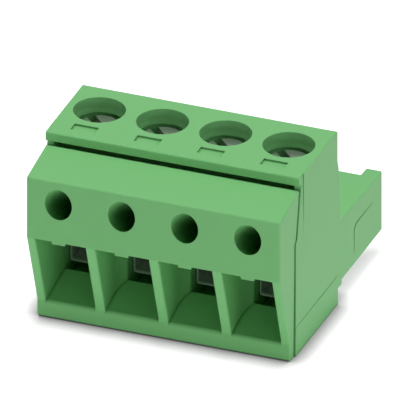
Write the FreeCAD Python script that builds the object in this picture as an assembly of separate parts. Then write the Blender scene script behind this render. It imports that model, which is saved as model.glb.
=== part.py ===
import FreeCAD, Part
import math
import os

Vector = FreeCAD.Vector

# Four-position pluggable terminal block, in millimetres.
# While it is built, X runs along the row, Y runs from the wire side (0) to the plug side,
# and Z is up from the surface that the block stands on.

# The row
positions = 4
pitch = 7.62

# Main housing, outside
end_margin = 3.97          # from the last position to the side face
top_height = 22.3
block_back = 17.95
lip_front = 6.1
lip_thickness = 1.1
lip_setback = 0.6          # how far the webs under the lip stand back from it
web_width = 0.90
slot_wall = 1.4            # between the slot under the lip and the screw shafts
slot_floor = 1.2           # over the chamber roof
edge_round = 0.2
side_relief = 0.1          # depth of the shallow step beside the hood
relief_front = 7.35
relief_height = 13.7
score_width = 0.28         # fine lines in the side faces
score_depth = 0.03
score_height = 3.8
score_end = 0.25           # in front of the block's back

# Plug nose
nose_bottom = 2.6
nose_height = 7.33
nose_slope = 0.45          # the nose is this much higher where it meets the block
nose_length = 12.3         # behind the block
ear_length = 1.75          # how far the end walls reach past the nose
ear_width = 1.9
flare_drop = 3.9           # where the back of the block starts to widen, below the top
flare_step = 0.55
flare_step_height = 1.5
flare_foot = 1.05
flare_round = 1.0
heel_reach = 0.1           # behind the block, below the nose
heel_height = 2.0
shoulder_reach = 1.3
panel_start = 5.05         # fine line with one rounded corner in the nose's side
panel_length = 5.7
panel_top = 5.1
panel_height = 3.6
panel_depth = 0.07         # at the corner; the line gets shallower both ways
panel_fade = 1.5
panel_round = 1.2

# Screw shafts and marking pockets
shaft_offset = 4.98        # from the back of the block to the screw axis
shaft_radius = 2.99
shaft_depth = 1.2          # of the straight part; below it the shaft narrows to a lip over the head
marking_width = 2.92
marking_length = 1.4
marking_depth = 0.23
marking_gap = 0.97         # between pocket and shaft

# Hood on the wire side
hood_setback = 0.1         # narrower than the main housing on each side
hood_draft = 0.12          # narrower still at the foot, on each side
face_bottom = 11.84
face_drop = 2.72           # from the top of the housing to the top of the hood's face
hood_rise = 1.03           # how far the top slopes up towards the lip
foot_setback = 3.23
band_height = 2.24
band_round = 0.58
seam_depth = 4.65
seam_kink_drop = 7.96      # below the top of the housing
seam_kink_depth = 0.4
seam_kink_rise = 0.5
seam_gap = 0.18
seam_widening = 0.1       # above the kink
hood_space = 1.5           # from the hood's rear block to the clamp cages
hood_tongue = 0.6          # the hood's side walls go on inside the main housing
hood_edge = 0.25
fit_gap = 0.1

# Snap ridges that hold the hood
snap_width = 3.0
snap_height = 0.35
snap_length = 1.3
snap_inset = 0.4           # from the rear of the hood
snap_ramp = 0.3            # length of the flat on top of a ridge
snap_root = 0.2

# Wire entries
rib_width = 1.2
rib_round = 0.25
sill_round = 0.5
hood_wall = 1.0
channel_half_width = 2.6
channel_floor = 3.57
channel_ceiling = 8.5
ceiling_run = 7.0
funnel_bend_radius = 6.5
tab_width = 1.62
tab_depth = 0.8
tab_drop = 0.3

# Test holes
test_radius = 1.635
test_drop = 2.87           # below the top of the hood's face, at the mouth
test_angle = 31.3          # degrees down, going in

# Clamp cages, shown lowered
cage_half_width = 2.5
cage_depth = 5.34
cage_wall = 0.3
cage_corner = 0.3
cage_lead_in = 0.15
cage_plate = 2.0
cage_floor_gap = 0.1
plate_gap = 0.3            # between the current bar and the plate of the lowered cage
wire_gap = 4.2             # between the lowered cage's floor and the current bar

# Chambers around the cages
floor_thickness = 2.0
chamber_floor = 3.76
ledge_setback = 3.4        # from the front of a cage to the ledge under it
seat_thickness = 1.15      # between a screw head and the chamber under it

# Clamp screws
head_radius = 2.59
head_height = 2.0
head_drop = 2.0            # below the top of the housing
head_chamfer = 0.15
head_seat_gap = 0.05
head_lip_gap = 0.1         # between a screw head and the lip that keeps it in
lip_reach = 0.08           # of that lip, into the shaft
head_side_gap = 0.65
slot_width = 1.0
slot_depth = 1.2
slot_angle = 135.0         # degrees from X
thread_radius = 1.5
thread_gap = 0.03
shank_gap = 0.1
tip_gap = 0.15
tip_chamfer = 0.4

# Contacts
metal = 0.8
bar_gap = 0.1              # beside the bar, inside the cage and in its slot
bar_slope = 1.7            # length and depth of the step down to the socket
socket_half_width = 1.3
socket_height = 3.4
socket_web = 0.6           # from the foot of the slope to the socket's closed end
socket_mouth = 0.7
leaf_straight = 2.0
leaf_lip = 1.7
leaf_flare = 0.65
bend_round = 0.2
tip_space = 0.7            # from the leaf tips to the nose's end wall

# Contact springs
spring_metal = 0.3
spring_gap = 0.03
spring_band = 1.4
spring_reach = 6.6
spring_offset = 0.2        # from the socket's closed end

# Contact passages and pin holes
end_wall = 1.25
pin_hole = 1.9
pin_lead_in = 0.4

# How far cutting shapes reach past a face
past = 1.0

# Places worked out from the sizes
half_width = (positions - 1) * pitch / 2 + end_margin
hood_half_width = half_width - hood_setback
nose_end = block_back + nose_length
overall_length = nose_end + ear_length
nose_top = nose_bottom + nose_height
screw_y = block_back - shaft_offset
lip_bottom = top_height - lip_thickness
face_top = top_height - face_drop
hood_back_top = face_top + hood_rise
centres = [(i - (positions - 1) / 2) * pitch for i in range(positions)]
seam_kink_height = top_height - seam_kink_drop
test_height = face_top - test_drop
inner_face = centres[-1] + channel_half_width
cage_front = screw_y - cage_depth / 2
cage_back = screw_y + cage_depth / 2
hood_depth = cage_front - hood_space
chamber_front = hood_depth + fit_gap
chamber_back = cage_back + fit_gap * 2
ledge_front = cage_front + ledge_setback
cage_bottom = chamber_floor + cage_floor_gap
bar_bottom = cage_bottom + cage_wall + wire_gap
bar_top = bar_bottom + metal
cage_plate_bottom = bar_top + plate_gap
cage_top = cage_plate_bottom + cage_plate
bar_half_width = cage_half_width - cage_wall - bar_gap
head_top = top_height - head_drop
head_bottom = head_top - head_height
shelf_top = head_bottom - head_seat_gap
chamber_roof = shelf_top - seat_thickness
socket_middle = nose_bottom + nose_height / 2
slope_start = chamber_back + metal / 2
leaf_root = slope_start + bar_slope
socket_end = nose_end - end_wall
leaf_tip = socket_end - tip_space
passage_half_width = bar_half_width + bar_gap / 2


def box(x0, x1, y0, y1, z0, z1):
    return Part.makeBox(x1 - x0, y1 - y0, z1 - z0, Vector(x0, y0, z0))


def side_plate(points, x0, x1):
    """A closed outline of (y, z) points, extruded along X."""
    corners = [Vector(x0, y, z) for y, z in points]
    face = Part.Face(Part.makePolygon(corners + corners[:1]))
    return face.extrude(Vector(x1 - x0, 0, 0))


def rod(radius, x, y, z0, z1):
    return Part.makeCylinder(radius, z1 - z0, Vector(x, y, z0))


def joined(first, others):
    return first.fuse(others).removeSplitter()


def edges_along(shape, axis, test):
    """Straight edges parallel to one axis whose middle passes the test."""
    found = []
    for edge in shape.Edges:
        run = edge.Vertexes[-1].Point - edge.Vertexes[0].Point
        straight = run.Length > edge.Length * 0.9999
        if straight and abs(run.dot(axis)) > 0.999 * run.Length and test(edge.CenterOfMass):
            found.append(edge)
    return found


# Main housing

def seam_points(gap, widening):
    """The parting line seen from the side, moved back by a gap that widens above the kink."""
    return [
        (seam_depth + gap, 0.0),
        (seam_depth + gap, seam_kink_height),
        (seam_depth + seam_kink_depth + gap + widening, seam_kink_height + seam_kink_rise),
    ]


def housing_outline():
    """Side view of the main housing, without the rounding at the foot of the block."""
    web_front = lip_front + lip_setback
    flare_start = top_height - flare_drop
    return seam_points(seam_gap, seam_widening) + [
        (web_front, hood_back_top + seam_gap),
        (web_front, lip_bottom),
        (lip_front, lip_bottom),
        (lip_front, top_height),
        (block_back, top_height),
        (block_back, flare_start),
        (block_back + flare_step, flare_start - flare_step_height),
        (block_back + flare_foot, nose_top + nose_slope),
        (overall_length, nose_top),
        (overall_length, nose_bottom),
        (block_back + shoulder_reach, nose_bottom),
        (block_back + shoulder_reach, heel_height),
        (block_back + heel_reach, heel_height),
        (block_back + heel_reach, 0.0),
    ]


def housing_body():
    body = side_plate(housing_outline(), -half_width, half_width)
    foot_y = block_back + flare_foot
    foot = edges_along(body, Vector(1, 0, 0), lambda p: near(p, foot_y, nose_top + nose_slope))
    body = body.makeFillet(flare_round, foot)
    rims = edges_along(body, Vector(0, 1, 0), lambda p: p.z > top_height - 0.01)
    rims += edges_along(body, Vector(1, 0, 0), lambda p: p.z > top_height - 0.01)
    body = body.makeFillet(edge_round, rims)
    nose_rims = edges_along(body, Vector(0, 1, 0), lambda p: p.y > block_back and p.z > nose_top - 0.01)
    nose_rims += edges_along(body, Vector(0, 0, 1), lambda p: p.y > overall_length - 0.01)
    body = body.makeFillet(edge_round, nose_rims)
    middle = half_width - ear_width
    gap_between_ears = box(
        -middle, middle, nose_end, overall_length + past, nose_bottom - past, nose_top + past)
    return body.cut(gap_between_ears)


def near(point, y, z):
    return math.hypot(point.y - y, point.z - z) < 0.01


def side_cut(side, face, points):
    """A shallow cut in the side face at one half width; its outline's corners are (y, z, depth)."""
    inner = [Vector(side * (face - depth), y, z) for y, z, depth in points]
    outer = [Vector(side * (face + past), y, z) for y, z, depth in points]
    loops = [Part.makePolygon(loop + loop[:1]) for loop in (inner, outer)]
    return Part.makeLoft(loops, True, True)


def side_details(side):
    """A shallow step beside the hood and the fine lines in one side face."""
    beside_hood = [
        (seam_depth, relief_height, 0),
        (relief_front, relief_height, 0),
        (relief_front, top_height, side_relief),
        (seam_depth, top_height, side_relief),
    ]
    line = [
        (seam_depth, score_height - score_width / 2, score_depth),
        (seam_depth, score_height + score_width / 2, score_depth),
        (block_back - score_end, score_height + score_width / 2, score_depth),
        (block_back - score_end, score_height - score_width / 2, score_depth),
    ]
    return [side_cut(side, half_width, beside_hood), side_cut(side, half_width, line), nose_line(side)]


def nose_line(side):
    """A line round a corner of the nose's side, deepest at the corner and fading both ways."""
    start = block_back + panel_start
    top = nose_bottom + panel_top
    wedge = side_cut(side, half_width, [
        (start, top, panel_depth),
        (start + panel_length * panel_fade, top, 0),
        (start, top - panel_height * panel_fade, 0),
    ])
    outer = nose_frame(0.0)
    inner = nose_frame(score_width)
    return wedge.common(outer.cut(inner))


def nose_frame(inset):
    """The region behind and below the line's corner, as a bar right across the nose."""
    front = block_back + panel_start + inset
    back = block_back + panel_start + panel_length
    top = nose_bottom + panel_top - inset
    bottom = nose_bottom + panel_top - panel_height
    reach = half_width + past * 2
    if inset > 0:
        back += past
        bottom -= past
    frame = box(-reach, reach, front, back, bottom, top)
    corner = edges_along(frame, Vector(1, 0, 0), lambda p: near(p, front, top))
    return frame.makeFillet(panel_round - inset, corner)


def chamber_cuts(x):
    """The space for one clamp cage, its screw shaft and the passage to its socket."""
    w = channel_half_width
    passage = [
        (chamber_back - past, bar_top),
        (slope_start + metal, bar_top),
        (leaf_root + metal / 2, socket_roof()),
        (socket_end, socket_roof()),
        (socket_end, 2 * socket_middle - socket_roof()),
        (chamber_back - past, 2 * socket_middle - socket_roof()),
    ]
    return [
        box(x - w, x + w, chamber_front - past, ledge_front, floor_thickness, chamber_roof),
        box(x - w, x + w, ledge_front - past, chamber_back, chamber_floor, chamber_roof),
        screw_shaft(x),
        rod(thread_radius + shank_gap, x, screw_y, chamber_roof - past, shelf_top + past),
        side_plate(passage, x - passage_half_width, x + passage_half_width),
        pin_mouth(x),
    ]


def screw_shaft(x):
    """The shaft that a screwdriver enters. It narrows to a lip that keeps the screw head in its seat."""
    seat_radius = head_radius + head_side_gap
    lip_height = head_top + head_lip_gap
    profile = [
        (0, shelf_top),
        (seat_radius, shelf_top),
        (seat_radius, lip_height),
        (shaft_radius - lip_reach, lip_height),
        (shaft_radius, top_height - shaft_depth),
        (shaft_radius, top_height + past),
        (0, top_height + past),
    ]
    corners = [Vector(x + r, screw_y, z) for r, z in profile]
    face = Part.Face(Part.makePolygon(corners + corners[:1]))
    return face.revolve(Vector(x, screw_y, 0), Vector(0, 0, 1), 360)


def socket_roof():
    """Height of the passage roof, just above the contact spring."""
    return socket_middle + socket_height / 2 + spring_metal + spring_gap * 2


def pin_mouth(x):
    """A square pin hole with a tapered lead-in, through the nose's end wall."""
    half = pin_hole / 2
    hole = box(
        x - half, x + half, socket_end - past, nose_end + past, socket_middle - half, socket_middle + half)
    lead_in = square_loop(x, half, nose_end - pin_lead_in)
    mouth = square_loop(x, half + pin_lead_in, nose_end)
    taper = Part.makeLoft([lead_in, mouth], True)
    return hole.fuse(taper)


def square_loop(x, half, y):
    corners = [
        Vector(x - half, y, socket_middle - half),
        Vector(x + half, y, socket_middle - half),
        Vector(x + half, y, socket_middle + half),
        Vector(x - half, y, socket_middle + half),
    ]
    return Part.makePolygon(corners + corners[:1])


def marking_pocket(x):
    back = screw_y - shaft_radius - marking_gap
    front = back - marking_length
    half = marking_width / 2
    return box(x - half, x + half, front, back, top_height - marking_depth, top_height + past)


def snap_ridges(x, gap):
    """Ridges over and under the hood's rear block, or with a gap the grooves that take them."""
    half = snap_width / 2 + gap
    back = hood_depth - snap_inset + gap
    front = back - snap_length - gap * 2
    ridges = []
    for z, up in ((chamber_roof, 1), (floor_thickness + fit_gap, -1)):
        tip = z + up * (snap_height + gap)
        base = z - up * snap_root
        ridge = [(front, z), (back - snap_ramp, tip), (back, tip), (back, base), (front, base)]
        ridges.append(side_plate(ridge, x - half, x + half))
    return ridges


def main_housing():
    body = housing_body()
    slot_half = half_width - web_width
    slot_back = screw_y - shaft_radius - slot_wall
    cavity_half = inner_face + hood_tongue + fit_gap
    cavity_roof = chamber_roof + fit_gap
    cuts = [
        box(-cavity_half, cavity_half, seam_depth - past, chamber_front, floor_thickness, cavity_roof),
        box(-slot_half, slot_half, lip_front, slot_back, chamber_roof + slot_floor, lip_bottom),
    ]
    for side in (-1, 1):
        cuts += side_details(side)
    for x in centres:
        cuts += chamber_cuts(x)
        cuts.append(marking_pocket(x))
        cuts += snap_ridges(x, fit_gap)
    return body.cut(cuts).removeSplitter()


# Hood with the wire entries

def hood_body():
    outline = seam_points(0.0, 0.0)
    outline += [
        (lip_front, hood_back_top),
        (0.0, face_top),
        (0.0, face_bottom),
        (foot_setback, band_height),
        (foot_setback, 0.0),
    ]
    shell = side_plate(outline, -hood_half_width, hood_half_width)
    foot = edges_along(shell, Vector(1, 0, 0), lambda p: near(p, foot_setback, 0))
    shell = shell.makeFillet(band_round, foot)
    shell = shell.makeFillet(hood_edge, hood_rims(shell))
    shell = shell.cut([draft_cut(side) for side in (-1, 1)])
    block_half = inner_face + hood_tongue
    rear_floor = floor_thickness + fit_gap
    rear = box(-block_half, block_half, seam_depth - past, hood_depth, rear_floor, chamber_roof)
    return shell.fuse(rear)


def draft_cut(side):
    """What the mould's draft takes off one side of the hood, from the foot up to the wire entries."""
    back = seam_depth + seam_kink_depth + past
    return side_cut(side, hood_half_width, [
        (-past, 0, hood_draft),
        (back, 0, hood_draft),
        (back, face_bottom, 0),
        (-past, face_bottom, 0),
    ])


def hood_rims(shell):
    """The hood's outer edges at the front and along the top slope."""
    rims = []
    for edge in shell.Edges:
        middle = edge.CenterOfMass
        side_edge = abs(middle.x) > hood_half_width - 0.01
        if side_edge and middle.z > band_height and middle.y < seam_depth - 0.5:
            rims.append(edge)
        if near(middle, 0, face_top):
            rims.append(edge)
    return rims


def funnel_side(x, side):
    """Plan of one funnel wall, from the mouth to the channel."""
    outer = (side < 0 and x == centres[0]) or (side > 0 and x == centres[-1])
    end = Vector(x + side * channel_half_width, hood_depth, 0)
    if outer:
        start = Vector(side * (hood_half_width - hood_wall), 0, 0)
        return [Part.LineSegment(start, end)]
    mouth = (pitch - rib_width) / 2
    narrowing = mouth - channel_half_width
    turn = math.acos(1 - narrowing / funnel_bend_radius)
    bend = hood_depth - funnel_bend_radius * math.sin(turn)
    start = Vector(x + side * mouth, 0, 0)
    bend_start = Vector(x + side * mouth, bend, 0)
    half_turn = Vector(
        x + side * (mouth - funnel_bend_radius * (1 - math.cos(turn / 2))),
        bend + funnel_bend_radius * math.sin(turn / 2), 0)
    return [Part.LineSegment(start, bend_start), Part.Arc(bend_start, half_turn, end)]


def funnel(x):
    """One wire entry: its plan and its side outline, each extruded, and what they share."""
    left = funnel_side(x, -1)
    right = funnel_side(x, 1)
    first = left[0].StartPoint
    last = right[0].StartPoint
    back_left = left[-1].EndPoint
    back_right = right[-1].EndPoint
    front_left = Vector(first.x, -past, 0)
    front_right = Vector(last.x, -past, 0)
    rear_left = Vector(back_left.x, hood_depth + past, 0)
    rear_right = Vector(back_right.x, hood_depth + past, 0)
    edges = [segment.toShape() for segment in left]
    edges.append(Part.LineSegment(back_left, rear_left).toShape())
    edges.append(Part.LineSegment(rear_left, rear_right).toShape())
    edges.append(Part.LineSegment(rear_right, back_right).toShape())
    edges += [segment.toShape() for segment in reversed(right)]
    edges.append(Part.LineSegment(last, front_right).toShape())
    edges.append(Part.LineSegment(front_right, front_left).toShape())
    edges.append(Part.LineSegment(front_left, first).toShape())
    plan = Part.Face(Part.Wire(Part.__sortEdges__(edges)))
    upright = plan.extrude(Vector(0, 0, top_height))
    return upright.common(funnel_profile(x))


def funnel_profile(x):
    """Side outline of a wire entry, with a rounded sill at its mouth, extruded across the entry."""
    slope = math.atan2(channel_floor - band_height, hood_depth - foot_setback)
    middle_y = foot_setback + sill_round
    middle_z = band_height + sill_round * math.tan(slope) - sill_round / math.cos(slope)
    half_turn = math.pi * 0.75 + slope / 2
    sill = [Vector(x - pitch, middle_y + sill_round * math.cos(a), middle_z + sill_round * math.sin(a))
            for a in (math.pi, half_turn, math.pi / 2 + slope)]
    points = [Vector(x - pitch, y, z) for y, z in (
        (hood_depth, channel_floor),
        (hood_depth + past, channel_floor),
        (hood_depth + past, channel_ceiling),
        (ceiling_run, channel_ceiling),
        (0, face_bottom),
        (-past, face_bottom),
        (-past, middle_z),
    )]
    chain = [sill[2]] + points + [sill[0]]
    edges = [Part.LineSegment(a, b).toShape() for a, b in zip(chain, chain[1:])]
    edges.append(Part.Arc(*sill).toShape())
    return Part.Face(Part.Wire(edges)).extrude(Vector(pitch * 2, 0, 0))


def rib_edges(shape):
    """The slanting front edges beside the wire entries."""
    fall = Vector(0, foot_setback, band_height - face_bottom).normalize()
    inner = hood_half_width - hood_wall / 2
    middle_z = (band_height + face_bottom) / 2
    return edges_along(shape, fall, lambda p: abs(p.x) < inner and abs(p.z - middle_z) < past)


def test_hole(x):
    angle = math.radians(test_angle)
    inward = Vector(0, math.cos(angle), -math.sin(angle))
    start = Vector(x, 0, test_height) - inward * test_radius * 3
    return Part.makeCylinder(test_radius, hood_depth * 3, start, inward)


def front_housing():
    body = hood_body()
    cuts = []
    for x in centres:
        cuts.append(funnel(x))
        cuts.append(test_hole(x))
    body = body.cut(cuts)
    body = body.makeFillet(rib_round, rib_edges(body))
    tabs = []
    for x in centres:
        half = tab_width / 2
        tabs.append(box(x - half, x + half, 0, tab_depth, face_bottom - tab_drop, face_bottom + 0.1))
    for x in centres:
        tabs += snap_ridges(x, 0.0)
    return joined(body, tabs)


# Clamp screws and cages

def clamp_screw(x):
    tip = bar_top + tip_gap
    profile = [
        (0, tip),
        (thread_radius - tip_chamfer, tip),
        (thread_radius, tip + tip_chamfer),
        (thread_radius, head_bottom),
        (head_radius, head_bottom),
        (head_radius, head_top - head_chamfer),
        (head_radius - head_chamfer, head_top),
        (0, head_top),
    ]
    corners = [Vector(x + r, screw_y, z) for r, z in profile]
    face = Part.Face(Part.makePolygon(corners + corners[:1]))
    axis_point = Vector(x, screw_y, 0)
    turned = face.revolve(axis_point, Vector(0, 0, 1), 360)
    reach = head_radius + past
    slot = box(-reach, reach, -slot_width / 2, slot_width / 2, head_top - slot_depth, head_top + past)
    slot.rotate(Vector(0, 0, 0), Vector(0, 0, 1), slot_angle)
    slot.translate(axis_point)
    return turned.cut(slot)


def clamp_cage(x):
    """A sleeve folded from steel, with a thick threaded plate on top."""
    outside = box(
        x - cage_half_width, x + cage_half_width, cage_front, cage_back, cage_bottom, cage_top)
    outside = outside.makeFillet(cage_corner, edges_along(outside, Vector(0, 1, 0), lambda p: True))
    half = cage_half_width - cage_wall
    inside = box(
        x - half, x + half, cage_front - past, cage_back + past, cage_bottom + cage_wall, cage_plate_bottom)
    mouth = cage_loop(x, half, cage_front, cage_lead_in)
    throat = cage_loop(x, half, cage_front + cage_lead_in, 0.0)
    lead_in = Part.makeLoft([mouth, throat], True)
    thread = rod(thread_radius + thread_gap, x, screw_y, cage_plate_bottom - past, cage_top + past)
    return outside.cut([inside, lead_in, thread])


def cage_loop(x, half, y, grow):
    """A rectangle across the cage's mouth, as the section of its lead-in."""
    low = cage_bottom + cage_wall - grow
    high = cage_plate_bottom + grow
    wide = half + grow
    corners = [
        Vector(x - wide, y, low),
        Vector(x + wide, y, low),
        Vector(x + wide, y, high),
        Vector(x - wide, y, high),
    ]
    return Part.makePolygon(corners + corners[:1])


# Contacts and their springs

def strip(path, thickness, x0, x1):
    """Sheet metal seen from the side: a bent centre line given a thickness."""
    left = []
    right = []
    for i, point in enumerate(path):
        before = path[max(i - 1, 0)]
        after = path[min(i + 1, len(path) - 1)]
        shift = corner_shift(before, point, after, thickness / 2)
        left.append((point[0] + shift[0], point[1] + shift[1]))
        right.append((point[0] - shift[0], point[1] - shift[1]))
    return side_plate(left + right[::-1], x0, x1)


def corner_shift(before, point, after, distance):
    """How far a corner moves so that both runs beside it move out by one distance."""
    runs = []
    for start, finish in ((before, point), (point, after)):
        length = math.dist(start, finish)
        if length > 0:
            runs.append(((finish[0] - start[0]) / length, (finish[1] - start[1]) / length))
    first, last = runs[0], runs[-1]
    normal = (-(first[1] + last[1]), first[0] + last[0])
    size = math.hypot(normal[0], normal[1])
    normal = (normal[0] / size, normal[1] / size)
    half_turn = normal[0] * -first[1] + normal[1] * first[0]
    return (normal[0] * distance / half_turn, normal[1] * distance / half_turn)


def leaf_path(side, start_y):
    """Centre line of one contact leaf; side is 1 for the upper one and -1 for the lower."""
    root_z = socket_height / 2 - metal / 2
    neck_z = socket_mouth / 2 + metal / 2
    heights = [
        (start_y, root_z),
        (leaf_root + leaf_straight, root_z),
        (leaf_tip - leaf_lip, neck_z),
        (leaf_tip, neck_z + leaf_flare),
    ]
    return [(y, socket_middle + side * z) for y, z in heights]


def contact(x):
    """The stamped contact: current bar, step down, and a two-leaf socket."""
    bar_z = bar_bottom + metal / 2
    bar_front = hood_depth + fit_gap * 3
    upper = leaf_path(1, leaf_root)
    bar_path = [(bar_front, bar_z), (slope_start, bar_z)] + upper
    web_y = leaf_root + socket_web
    lower = leaf_path(-1, web_y)
    web_path = [(web_y, upper[0][1])] + lower
    solid = strip(bar_path, metal, x - bar_half_width, x + bar_half_width)
    solid = joined(solid, [strip(web_path, metal, x - bar_half_width, x + bar_half_width)])
    solid = solid.common(contact_plan(x, bar_front))
    bends = edges_along(solid, Vector(1, 0, 0), lambda p: p.y > bar_front + bend_round)
    return solid.makeFillet(bend_round, bends)


def contact_plan(x, front):
    """The blank's outline from above: a wide bar that narrows to the socket."""
    wide = bar_half_width
    narrow = socket_half_width
    half = [
        (wide, front - past),
        (wide, slope_start),
        (narrow, leaf_root),
        (narrow, leaf_tip + past),
    ]
    outline = [Vector(x + w, y, 0) for w, y in half]
    outline += [Vector(x - w, y, 0) for w, y in reversed(half)]
    face = Part.Face(Part.makePolygon(outline + outline[:1]))
    return face.extrude(Vector(0, 0, top_height))


def contact_spring(x):
    """A steel band round the socket's root, with a finger pressing on each leaf."""
    inner_half = socket_half_width + spring_gap
    outer_half = inner_half + spring_metal
    inner_z = socket_height / 2 + spring_gap
    outer_z = inner_z + spring_metal
    band_start = leaf_root + socket_web + metal / 2 + spring_offset
    band_end = band_start + spring_band
    band = box(
        x - outer_half, x + outer_half, band_start, band_end,
        socket_middle - outer_z, socket_middle + outer_z)
    hollow = box(
        x - inner_half, x + inner_half, band_start - past, band_end + past,
        socket_middle - inner_z, socket_middle + inner_z)
    fingers = []
    for side in (-1, 1):
        centre = inner_z + spring_metal / 2
        path = [
            (band_start, socket_middle + side * centre),
            (leaf_root + leaf_straight, socket_middle + side * centre),
            (band_start + spring_reach, socket_middle + side * finger_height(band_start + spring_reach)),
        ]
        fingers.append(strip(path, spring_metal, x - socket_half_width, x + socket_half_width))
    return joined(band.cut(hollow), fingers)


def finger_height(y):
    """Height of a finger's centre line above the pin, on the leaf's back."""
    root = leaf_path(1, leaf_root)[1]
    neck = leaf_path(1, leaf_root)[2]
    share = (y - root[0]) / (neck[0] - root[0])
    leaf = root[1] + share * (neck[1] - root[1]) - socket_middle
    return leaf + metal / 2 + spring_gap + spring_metal / 2


def save(shape, name):
    """Put the middle of the row's footprint at the origin and write one piece."""
    placed = shape.copy()
    placed.translate(Vector(0, -overall_length / 2, 0))
    if placed.ShapeType == "Compound" and len(placed.Solids) == 1:
        placed = placed.Solids[0]
    print(name, placed.isValid(), len(placed.Solids), round(placed.Volume, 2), placed.BoundBox)
    placed.exportStep("parts/" + name + ".step")


def main():
    os.makedirs("parts", exist_ok=True)
    save(main_housing(), "main_housing")
    save(front_housing(), "front_housing")
    for number, x in enumerate(centres, start=1):
        save(clamp_screw(x), "clamp_screw_%d" % number)
        save(clamp_cage(x), "clamp_cage_%d" % number)
        save(contact(x), "contact_%d" % number)
        save(contact_spring(x), "contact_spring_%d" % number)


main()
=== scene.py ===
"""Looks of the pluggable terminal block: green housings, plated screws, cages and contacts."""

import math

import bmesh
import bpy
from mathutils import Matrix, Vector


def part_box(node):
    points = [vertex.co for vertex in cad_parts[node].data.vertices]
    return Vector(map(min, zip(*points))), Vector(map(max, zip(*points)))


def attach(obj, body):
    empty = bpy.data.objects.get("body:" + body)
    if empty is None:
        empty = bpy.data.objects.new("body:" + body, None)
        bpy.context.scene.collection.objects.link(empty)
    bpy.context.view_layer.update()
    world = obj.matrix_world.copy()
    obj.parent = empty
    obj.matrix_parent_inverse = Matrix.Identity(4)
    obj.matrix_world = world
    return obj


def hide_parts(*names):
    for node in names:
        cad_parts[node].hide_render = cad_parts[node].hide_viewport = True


MM = 0.001

# The view of the photograph: a parallel view with no roll
PICTURE_PIXELS = 408
PIXELS_PER_MM = 8.872
VIEW_AZIMUTH = math.radians(20.98)
VIEW_ELEVATION = math.radians(28.72)
AIM = Vector((0.0, 0.00006, 0.01087))
CAMERA_DISTANCE = 0.3
CAMERA_NEAREST = 0.001
CAMERA_FARTHEST = 10.0

# Colours, as linear values
GREEN = (0.182, 0.495, 0.182)
GREEN_SHADE = (0.174, 0.481, 0.174)
GREEN_PAINTED_CREVICE_SHADE = (0.010, 0.060, 0.010)
ZINC = (0.56, 0.57, 0.56)
DULL_ZINC = (0.42, 0.53, 0.43)
SHEARED_EDGE_AND_PAINTED_SHADE = (0.17, 0.27, 0.17)
TIN = (0.70, 0.69, 0.66)
SPRING_STEEL = (0.50, 0.50, 0.50)
WHITE = (1.0, 1.0, 1.0, 1.0)

# The moulded plastic. Roughness runs from 0, polished, to 1, matt
PLASTIC_ROUGHNESS = (0.44, 0.52)
PLASTIC_GLOSS = 0.2
PLASTIC_EDGE_MM = 0.10
CLOUDS_PER_MM = 0.25
GRAIN_PER_MM = 9.0
GRAIN_DEPTH_MM = 0.0015
# Painted shade in the plastic's creases and gaps: how far it reaches and how steeply it falls
PAINTED_SHADE_REACH_MM = 0.4
PAINTED_SHADE_POWER = 0.8

# The turned screws, which lie in a row along X
SCREW_PITCH = 7.62 * MM
SCREW_Y = -3.03 * MM
SCREW_ROUGHNESS = (0.24, 0.42)
SCREW_EDGE_MM = 0.06
MOTTLE_PER_MM = 3.0
MOTTLE_SHADE = 0.82
TURNING_RING = 0.07 * MM
TURNING_DEPTH_MM = 0.0012

# The rolled sheet of the cages, the contacts and their springs
SHEET_EDGE_MM = 0.05
STREAK_SHADE = 0.85
STREAK_DEPTH_MM = 0.002
STREAK_STRETCH = 0.08        # scale of the streaks along the block
# Faces that look along the block are the sheet's cut edges, and they also carry painted shade and
# a painted green reflection
EDGE_AND_SHADE_FACING = 0.6        # how squarely a face looks along the block to be a cut edge

# The screw thread, which takes the place of the plain shank
HEAD_HEIGHT = 2.0 * MM
THREAD_PITCH = 0.5 * MM
THREAD_CREST = 1.5 * MM
THREAD_ROOT = 1.19 * MM
THREAD_RELIEF = 0.7 * MM     # under the head, where the thread runs out
TIP_CHAMFER = 0.4 * MM
INTO_HEAD = 0.02 * MM
WELD = 0.001 * MM
TURN_STEPS = 36
PITCH_STEPS = 12
SHARP_ANGLE = math.radians(30)

# The floor: its own faint glow, and how the camera sees it
FLOOR_HALF_WIDTH = 0.6
FLOOR_GREY = 0.86
FLOOR_ROUGHNESS = 0.9
PAPER_GLOW = 0.29
SEEN_GLOW = 1.11
SEEN_GREY = 0.25
# The painted contact shadow that the camera sees on the floor: how far it reaches and how steeply
# it falls
CONTACT_SHADOW_REACH_MM = 3.0
CONTACT_SHADOW_POWER = 1.91

# Samples of the nodes that look at the surfaces near by
NEARBY_SAMPLES = 6
FLOOR_SAMPLES = 8

# The lamps: where each stands, seen from the object, how wide it is, and its power in watts
LAMP_DISTANCE = 0.6
WIDE = 0.40
NARROW = 0.12
LAMPS = (
    ("overhead", (0.0, 0.0, 1.0), NARROW, 2.56),
    ("behind", (0.0, 1.0, 1.2), WIDE, 0.10),
    ("front", (0.0, -1.0, 0.16), NARROW, 0.56),
    ("right", (1.0, 0.0, 0.35), WIDE, 0.71),
    ("left", (-1.0, 0.0, 1.2), WIDE, 0.32),
    ("front_right", (0.8, -0.8, 0.6), WIDE, 0.29),
)

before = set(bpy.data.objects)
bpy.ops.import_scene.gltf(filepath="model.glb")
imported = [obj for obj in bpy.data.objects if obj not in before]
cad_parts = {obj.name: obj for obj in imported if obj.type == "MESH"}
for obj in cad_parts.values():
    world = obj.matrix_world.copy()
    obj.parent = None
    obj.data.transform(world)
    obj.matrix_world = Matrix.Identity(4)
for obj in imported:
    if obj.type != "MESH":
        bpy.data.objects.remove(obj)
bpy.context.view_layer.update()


# Small helpers for node trees

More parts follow.
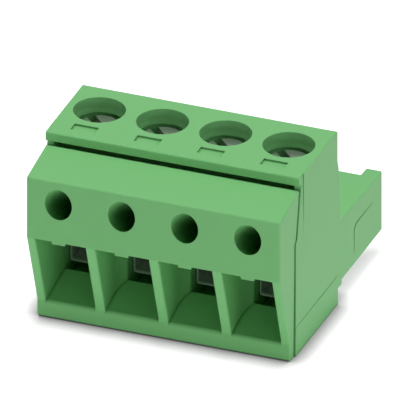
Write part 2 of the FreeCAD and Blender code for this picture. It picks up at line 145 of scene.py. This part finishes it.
def new_material(name):
    material = bpy.data.materials.new(name)
    material.use_nodes = True
    tree = material.node_tree
    tree.nodes.clear()
    output = tree.nodes.new("ShaderNodeOutputMaterial")
    shader = tree.nodes.new("ShaderNodeBsdfPrincipled")
    tree.links.new(shader.outputs["BSDF"], output.inputs["Surface"])
    return material, tree, shader


def object_point(tree):
    return tree.nodes.new("ShaderNodeTexCoord").outputs["Object"]


def separate(tree, vector):
    node = tree.nodes.new("ShaderNodeSeparateXYZ")
    tree.links.new(vector, node.inputs["Vector"])
    return node.outputs


def noise(tree, point, features_per_mm, detail):
    node = tree.nodes.new("ShaderNodeTexNoise")
    node.inputs["Scale"].default_value = features_per_mm / MM
    node.inputs["Detail"].default_value = detail
    tree.links.new(point, node.inputs["Vector"])
    return node.outputs["Fac"]


def blend_colours(tree, factor, first, second):
    """A mix of two colours, each of them a value or another node's output."""
    node = tree.nodes.new("ShaderNodeMix")
    node.data_type = "RGBA"
    for socket, colour in ((node.inputs["A"], first), (node.inputs["B"], second)):
        if isinstance(colour, tuple):
            socket.default_value = (*colour, 1.0)
        else:
            tree.links.new(colour, socket)
    tree.links.new(factor, node.inputs["Factor"])
    return node.outputs["Result"]


def darker(colour, share):
    return tuple(share * channel for channel in colour)


def spread(tree, factor, low, high):
    """Stretches values between 0 and 1 over the range from low to high."""
    node = tree.nodes.new("ShaderNodeMapRange")
    node.inputs["To Min"].default_value = low
    node.inputs["To Max"].default_value = high
    tree.links.new(factor, node.inputs["Value"])
    return node.outputs["Result"]


def math_node(tree, operation, *values):
    node = tree.nodes.new("ShaderNodeMath")
    node.operation = operation
    for socket, value in zip(node.inputs, values):
        if isinstance(value, (int, float)):
            socket.default_value = value
        else:
            tree.links.new(value, socket)
    return node.outputs["Value"]


def openness(tree, reach_mm, power, samples=NEARBY_SAMPLES):
    """1 on open faces, falling towards 0 inside gaps narrower than the reach, which sets where
    shade is painted.
    """
    node = tree.nodes.new("ShaderNodeAmbientOcclusion")
    node.samples = samples
    node.inputs["Distance"].default_value = reach_mm * MM
    return math_node(tree, "POWER", node.outputs["AO"], power)


def soft_edges(tree, radius_mm):
    """Normals that round every sharp edge over a small radius."""
    node = tree.nodes.new("ShaderNodeBevel")
    node.samples = NEARBY_SAMPLES
    node.inputs["Radius"].default_value = radius_mm * MM
    return node.outputs["Normal"]


def bump(tree, height, depth_mm, normal):
    node = tree.nodes.new("ShaderNodeBump")
    node.inputs["Strength"].default_value = 1.0
    node.inputs["Distance"].default_value = depth_mm * MM
    tree.links.new(height, node.inputs["Height"])
    tree.links.new(normal, node.inputs["Normal"])
    return node.outputs["Normal"]


def picture_rays(tree):
    """1 for what the camera sees, also in metal or through glass, and 0 for the object's light."""
    path = tree.nodes.new("ShaderNodeLightPath").outputs
    mirrored = math_node(tree, "MAXIMUM", path["Is Glossy Ray"], path["Is Transmission Ray"])
    return math_node(tree, "MAXIMUM", path["Is Camera Ray"], mirrored)


# Materials

def moulded_plastic():
    """Glass-filled polyester: a fine spark-eroded grain, a faint cloudiness in the green, and
    painted shade in its creases and gaps.
    """
    material, tree, shader = new_material("moulded_green")
    point = object_point(tree)
    clouds = noise(tree, point, CLOUDS_PER_MM, detail=4.0)
    green = blend_colours(tree, clouds, GREEN, GREEN_SHADE)
    # Painted shade: the green turns dark green in creases, gaps and narrow hollows
    unshaded_share = openness(tree, PAINTED_SHADE_REACH_MM, PAINTED_SHADE_POWER)
    colour = blend_colours(tree, unshaded_share, GREEN_PAINTED_CREVICE_SHADE, green)
    tree.links.new(colour, shader.inputs["Base Color"])
    grain = noise(tree, point, GRAIN_PER_MM, detail=2.0)
    tree.links.new(spread(tree, grain, *PLASTIC_ROUGHNESS), shader.inputs["Roughness"])
    relief = bump(tree, grain, GRAIN_DEPTH_MM, soft_edges(tree, PLASTIC_EDGE_MM))
    tree.links.new(relief, shader.inputs["Normal"])
    shader.inputs["Specular IOR Level"].default_value = PLASTIC_GLOSS
    return material


def distance_from_screw_axis(tree, point):
    """How far a point lies from the axis of the nearest screw, in metres."""
    place = separate(tree, point)
    shifted = math_node(tree, "ADD", place["X"], SCREW_PITCH * 4)
    within_pitch = math_node(tree, "MODULO", shifted, SCREW_PITCH)
    across = math_node(tree, "SUBTRACT", within_pitch, SCREW_PITCH / 2)
    along = math_node(tree, "SUBTRACT", place["Y"], SCREW_Y)
    squares = [math_node(tree, "MULTIPLY", side, side) for side in (across, along)]
    return math_node(tree, "SQRT", math_node(tree, "ADD", *squares))


def turned_zinc():
    """The screws: zinc over turned steel, with fine rings round each axis."""
    material, tree, shader = new_material("turned_zinc")
    point = object_point(tree)
    radius = distance_from_screw_axis(tree, point)
    turns = math_node(tree, "MULTIPLY", radius, 2 * math.pi / TURNING_RING)
    rings = math_node(tree, "SINE", turns)
    mottle = noise(tree, point, MOTTLE_PER_MM, detail=4.0)
    colour = blend_colours(tree, mottle, ZINC, darker(ZINC, MOTTLE_SHADE))
    tree.links.new(colour, shader.inputs["Base Color"])
    shader.inputs["Metallic"].default_value = 1.0
    tree.links.new(spread(tree, mottle, *SCREW_ROUGHNESS), shader.inputs["Roughness"])
    relief = bump(tree, rings, TURNING_DEPTH_MM, soft_edges(tree, SCREW_EDGE_MM))
    tree.links.new(relief, shader.inputs["Normal"])
    return material


def cut_edges_and_shaded_faces(tree):
    """1 on faces that look along the block, such as a sleeve's cut edges, and 0 elsewhere; there
    the sheet gets the colour of bare cut steel together with painted shade and a painted green
    reflection.
    """
    facing = separate(tree, tree.nodes.new("ShaderNodeTexCoord").outputs["Normal"])
    along = math_node(tree, "ABSOLUTE", facing["Y"])
    return math_node(tree, "GREATER_THAN", along, EDGE_AND_SHADE_FACING)


def rolled_metal(name, metal, roughness, streak_mm, metallic=1.0, edge_and_shade_colour=None):
    """Sheet metal with rolling streaks along the block, in another colour where it was cut, which
    also holds painted shade and a painted green reflection.
    """
    material, tree, shader = new_material(name)
    stretch = tree.nodes.new("ShaderNodeMapping")
    stretch.inputs["Scale"].default_value = (1.0, STREAK_STRETCH, 1.0)
    tree.links.new(object_point(tree), stretch.inputs["Vector"])
    streaks = noise(tree, stretch.outputs["Vector"], 1.0 / streak_mm, detail=3.0)
    colour = blend_colours(tree, streaks, metal, darker(metal, STREAK_SHADE))
    # Painted shade and reflection: a darker green-grey on the faces that look along the block,
    # which are also the cut edges
    if edge_and_shade_colour is not None:
        colour = blend_colours(tree, cut_edges_and_shaded_faces(tree), colour, edge_and_shade_colour)
    tree.links.new(colour, shader.inputs["Base Color"])
    shader.inputs["Metallic"].default_value = metallic
    tree.links.new(spread(tree, streaks, *roughness), shader.inputs["Roughness"])
    relief = bump(tree, streaks, STREAK_DEPTH_MM, soft_edges(tree, SHEET_EDGE_MM))
    tree.links.new(relief, shader.inputs["Normal"])
    return material


# The threaded screws

def thread_radius(z, turn, tip, neck):
    """How far a right-hand thread lies from its axis, at a height and a share of a turn."""
    ridge = 0.5 + 0.5 * math.cos(2 * math.pi * (z / THREAD_PITCH - turn))
    radius = THREAD_ROOT + (THREAD_CREST - THREAD_ROOT) * ridge
    run_out = THREAD_CREST + (neck - THREAD_RELIEF - z)
    chamfer = THREAD_CREST - TIP_CHAMFER + (z - tip)
    return min(max(THREAD_ROOT, min(radius, run_out)), chamfer)


def add_thread_ring(mesh, x, y, z, tip, neck):
    """One ring of the thread's points, at one height."""
    ring = []
    for step in range(TURN_STEPS):
        turn = step / TURN_STEPS
        radius = thread_radius(z, turn, tip, neck)
        angle = 2 * math.pi * turn
        point = (x + radius * math.cos(angle), y + radius * math.sin(angle), z)
        ring.append(mesh.verts.new(point))
    return ring


def add_threaded_shank(mesh, x, y, tip, neck):
    """A closed threaded rod from the tip to just inside the head."""
    length = neck + INTO_HEAD - tip
    rows = round(length / THREAD_PITCH * PITCH_STEPS)
    rings = [add_thread_ring(mesh, x, y, tip + length * row / rows, tip, neck)
             for row in range(rows + 1)]
    for lower, upper in zip(rings, rings[1:]):
        for step in range(TURN_STEPS):
            after = (step + 1) % TURN_STEPS
            mesh.faces.new((lower[step], lower[after], upper[after], upper[step]))
    for cap in (mesh.faces.new(rings[0][::-1]), mesh.faces.new(rings[-1])):
        for edge in cap.edges:
            edge.smooth = False


def take_off_shank(mesh, x, y, neck):
    """Leaves only the head of a screw, with its underside closed."""
    def on_shank(vertex):
        reach = math.hypot(vertex.co.x - x, vertex.co.y - y)
        return vertex.co.z < neck + WELD and reach < THREAD_CREST + 10 * WELD

    shank = [face for face in mesh.faces if all(on_shank(vertex) for vertex in face.verts)]
    bmesh.ops.delete(mesh, geom=shank, context="FACES")
    bmesh.ops.holes_fill(mesh, edges=[edge for edge in mesh.edges if edge.is_boundary])
    for edge in mesh.edges:
        edge.smooth = edge.calc_face_angle(0.0) < SHARP_ANGLE


def threaded_screw(name):
    """The screw of that name, with a real thread in place of its plain shank."""
    low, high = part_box(name)
    x, y = (low.x + high.x) / 2, (low.y + high.y) / 2
    neck = high.z - HEAD_HEIGHT
    mesh = bmesh.new()
    mesh.from_mesh(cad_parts[name].data)
    bmesh.ops.remove_doubles(mesh, verts=mesh.verts, dist=WELD)
    take_off_shank(mesh, x, y, neck)
    add_threaded_shank(mesh, x, y, low.z, neck)
    for face in mesh.faces:
        face.smooth = True
    body = name.replace("clamp_", "")
    data = bpy.data.meshes.new("threaded_" + body)
    mesh.to_mesh(data)
    mesh.free()
    piece = bpy.data.objects.new("threaded_" + body, data)
    bpy.context.scene.collection.objects.link(piece)
    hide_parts(name)
    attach(piece, body)
    return piece


# The finishes of all pieces

def dress(obj, material):
    """Gives the whole piece one material."""
    if not obj.data.materials:
        obj.data.materials.append(material)
    for index in range(len(obj.data.materials)):
        obj.data.materials[index] = material


def dress_all():
    green = moulded_plastic()
    finishes = {
        "main_housing": green,
        "front_housing": green,
        "clamp_screw": turned_zinc(),
        "clamp_cage": rolled_metal(
            "plated_sheet", DULL_ZINC, (0.30, 0.45), streak_mm=0.12, metallic=0.5,
            edge_and_shade_colour=SHEARED_EDGE_AND_PAINTED_SHADE),
        "contact_spring": rolled_metal(
            "spring_steel", SPRING_STEEL, (0.18, 0.30), streak_mm=0.08),
        "contact": rolled_metal("tinned_copper", TIN, (0.28, 0.45), streak_mm=0.10),
    }
    for name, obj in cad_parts.items():
        kind = name.rstrip("0123456789").rstrip("_")
        shown = threaded_screw(name) if kind == "clamp_screw" else obj
        dress(shown, finishes[kind])


# Camera, floor and light

def add_camera():
    data = bpy.data.cameras.new("camera")
    data.type = "ORTHO"
    data.ortho_scale = PICTURE_PIXELS / PIXELS_PER_MM * MM
    data.clip_start = CAMERA_NEAREST
    data.clip_end = CAMERA_FARTHEST
    camera = bpy.data.objects.new("camera", data)
    flat = math.cos(VIEW_ELEVATION)
    towards = Vector((
        math.sin(VIEW_AZIMUTH) * flat, -math.cos(VIEW_AZIMUTH) * flat, math.sin(VIEW_ELEVATION)))
    camera.location = AIM + towards * CAMERA_DISTANCE
    camera.rotation_euler = (-towards).to_track_quat("-Z", "Y").to_euler()
    bpy.context.scene.collection.objects.link(camera)
    bpy.context.scene.camera = camera


def white_paper():
    """Paper that lights the object as plain white paper does, plus a faint painted glow from
    below, and that the camera sees as pure white except in a painted shadow close to the object,
    laid over the real shadow."""
    material, tree, shader = new_material("white_paper")
    seen = picture_rays(tree)
    # Painted shadow: the floor darkens near the object, on top of the real shadow in its grey
    # share
    shadow = openness(tree, CONTACT_SHADOW_REACH_MM, CONTACT_SHADOW_POWER, FLOOR_SAMPLES)

    def by_ray(plain, in_picture):
        node = tree.nodes.new("ShaderNodeMix")
        node.inputs["A"].default_value = plain
        tree.links.new(seen, node.inputs["Factor"])
        tree.links.new(math_node(tree, "MULTIPLY", shadow, in_picture), node.inputs["B"])
        return node.outputs["Result"]

    grey = tree.nodes.new("ShaderNodeCombineColor")
    for channel in grey.inputs:
        tree.links.new(by_ray(FLOOR_GREY, SEEN_GREY), channel)
    tree.links.new(grey.outputs["Color"], shader.inputs["Base Color"])
    shader.inputs["Emission Color"].default_value = WHITE
    # Painted light: the paper glows and so lights the object from below
    tree.links.new(by_ray(PAPER_GLOW, SEEN_GLOW), shader.inputs["Emission Strength"])
    shader.inputs["Roughness"].default_value = FLOOR_ROUGHNESS
    shader.inputs["Specular IOR Level"].default_value = 0.0
    return material


def add_floor():
    half = FLOOR_HALF_WIDTH
    mesh = bpy.data.meshes.new("floor")
    corners = [(-half, -half, 0), (half, -half, 0), (half, half, 0), (-half, half, 0)]
    mesh.from_pydata(corners, [], [(0, 1, 2, 3)])
    floor = bpy.data.objects.new("floor", mesh)
    bpy.context.scene.collection.objects.link(floor)
    mesh.materials.append(white_paper())


def add_world():
    """White where the picture shows it, and no light of its own on the object."""
    world = bpy.data.worlds.new("studio")
    world.use_nodes = True
    tree = world.node_tree
    tree.nodes.clear()
    output = tree.nodes.new("ShaderNodeOutputWorld")
    dome = tree.nodes.new("ShaderNodeBackground")
    dome.inputs["Color"].default_value = WHITE
    tree.links.new(picture_rays(tree), dome.inputs["Strength"])
    tree.links.new(dome.outputs["Background"], output.inputs["Surface"])
    bpy.context.scene.world = world


def add_lamp(name, direction, size, watts):
    """A round lamp that stands in that direction and faces the object."""
    data = bpy.data.lights.new(name, "AREA")
    data.shape = "DISK"
    data.size = size
    data.energy = watts
    lamp = bpy.data.objects.new(name, data)
    towards = Vector(direction).normalized()
    lamp.location = towards * LAMP_DISTANCE
    lamp.rotation_euler = towards.to_track_quat("Z", "Y").to_euler()
    bpy.context.scene.collection.objects.link(lamp)


def light_studio():
    """A light tent: soft lamps on all sides, the strongest of them overhead."""
    add_world()
    for lamp in LAMPS:
        add_lamp(*lamp)


dress_all()
add_camera()
add_floor()
light_studio()
bpy.context.scene.view_settings.view_transform = "Standard"
